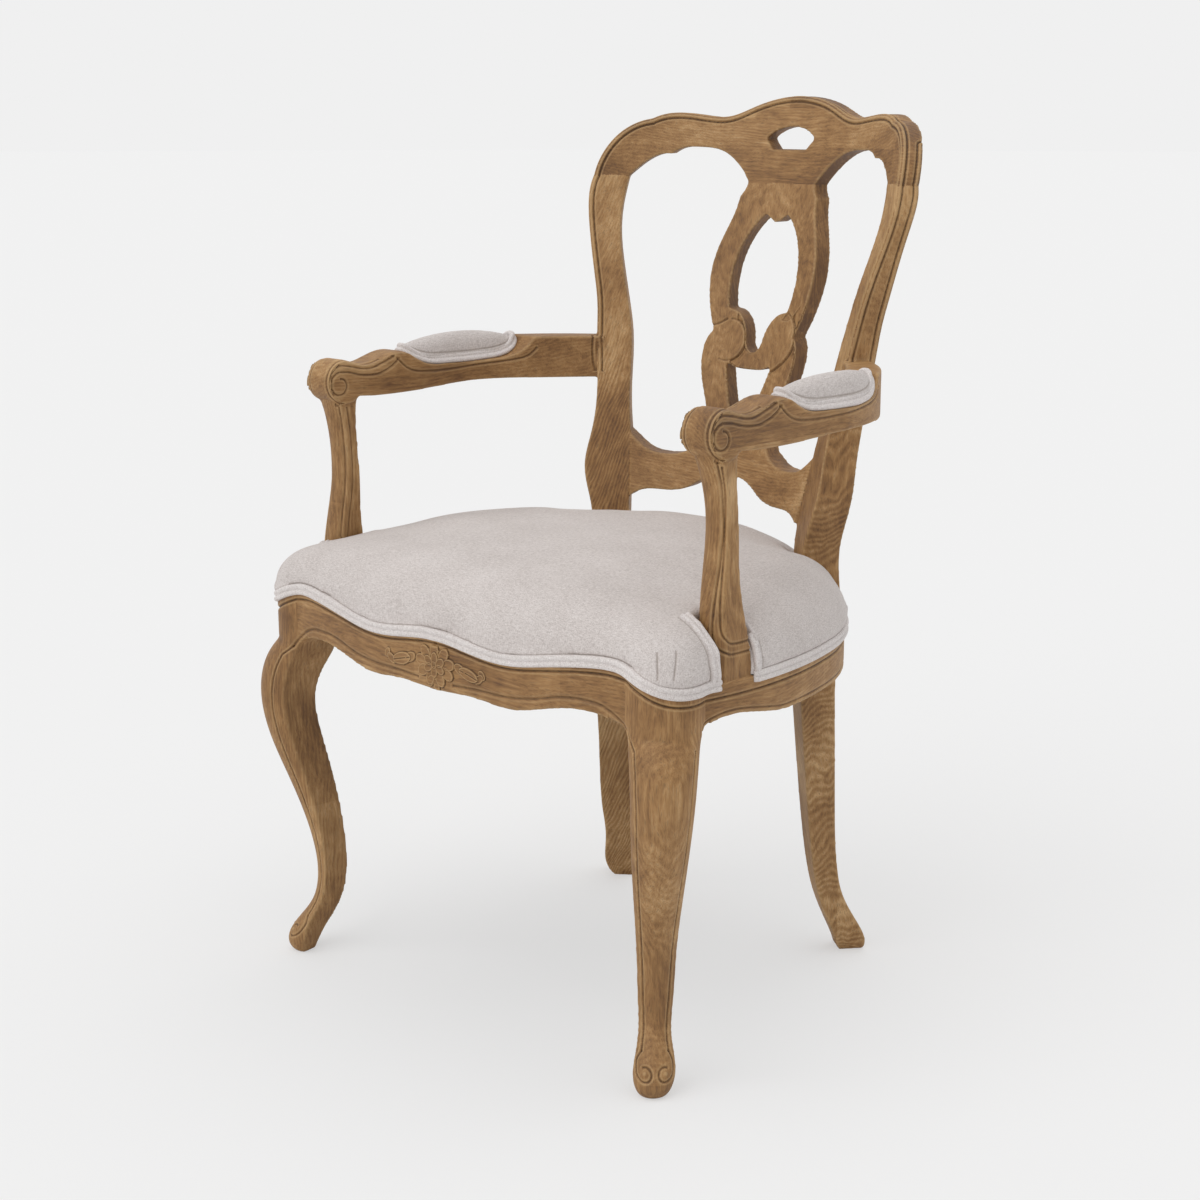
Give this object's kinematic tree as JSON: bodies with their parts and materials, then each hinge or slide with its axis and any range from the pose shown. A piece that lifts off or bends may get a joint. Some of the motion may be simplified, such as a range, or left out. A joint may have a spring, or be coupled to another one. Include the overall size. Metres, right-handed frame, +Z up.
{
  "type": "wooden armchair",
  "caption": "Carved wooden armchair with a hollow pierced back, scrolled padded arms, bowed legs and an upholstered seat, for sitting at a table.",
  "frame": {"origin": "on the floor under the middle of the chair's bounding box", "axes": "+Z up, the seat faces -Y, +X to the right of someone who faces the back; X = 0 is the mirror plane"},
  "size_m": [0.6572, 0.6268, 1],
  "materials": {
    "oak": "brown stained and waxed, carved by hand, satin",
    "beech": "plain, unfinished",
    "steel": "zinc plated",
    "linen": "plain woven, matt",
    "linen_welt": "plain woven over a double cord, matt",
    "foam": "open-celled foam",
    "jute": "coarse plain weave",
    "dust_cloth": "thin black cloth"
  },
  "bodies": {
    "root": {"arm_left": "oak", "arm_pad_left": "linen", "arm_pad_right": "linen", "arm_pad_welt_left": "linen_welt", "arm_pad_welt_right": "linen_welt", "arm_post_foot_dowels": "beech", "arm_post_left": "oak", "arm_post_right": "oak", "arm_post_top_dowels": "beech", "arm_right": "oak", "arm_tail_dowels": "beech", "back_rail_dowels": "beech", "back_seat_rail": "oak", "back_splat": "oak", "corner_block_front_left": "beech", "corner_block_front_right": "beech", "corner_block_rear_left": "beech", "corner_block_rear_right": "beech", "corner_block_screws": "steel", "crest_dowels": "beech", "crest_rail": "oak", "dust_cover": "dust_cloth", "front_leg_left": "oak", "front_leg_right": "oak", "front_rail_dowels": "beech", "front_seat_rail": "oak", "lower_back_rail": "oak", "lower_back_rail_dowels": "beech", "rear_leg_left": "oak", "rear_leg_right": "oak", "seat_cover": "linen", "seat_foam": "foam", "seat_hessian": "jute", "seat_webbing_crosswise": "jute", "seat_webbing_lengthwise": "jute", "seat_welt_front": "linen_welt", "seat_welt_left": "linen_welt", "seat_welt_right": "linen_welt", "side_rail_front_dowels": "beech", "side_rail_rear_dowels": "beech", "side_seat_rail_left": "oak", "side_seat_rail_right": "oak", "splat_foot_dowels": "beech", "splat_top_dowels": "beech"}
  },
  "joints": []
}
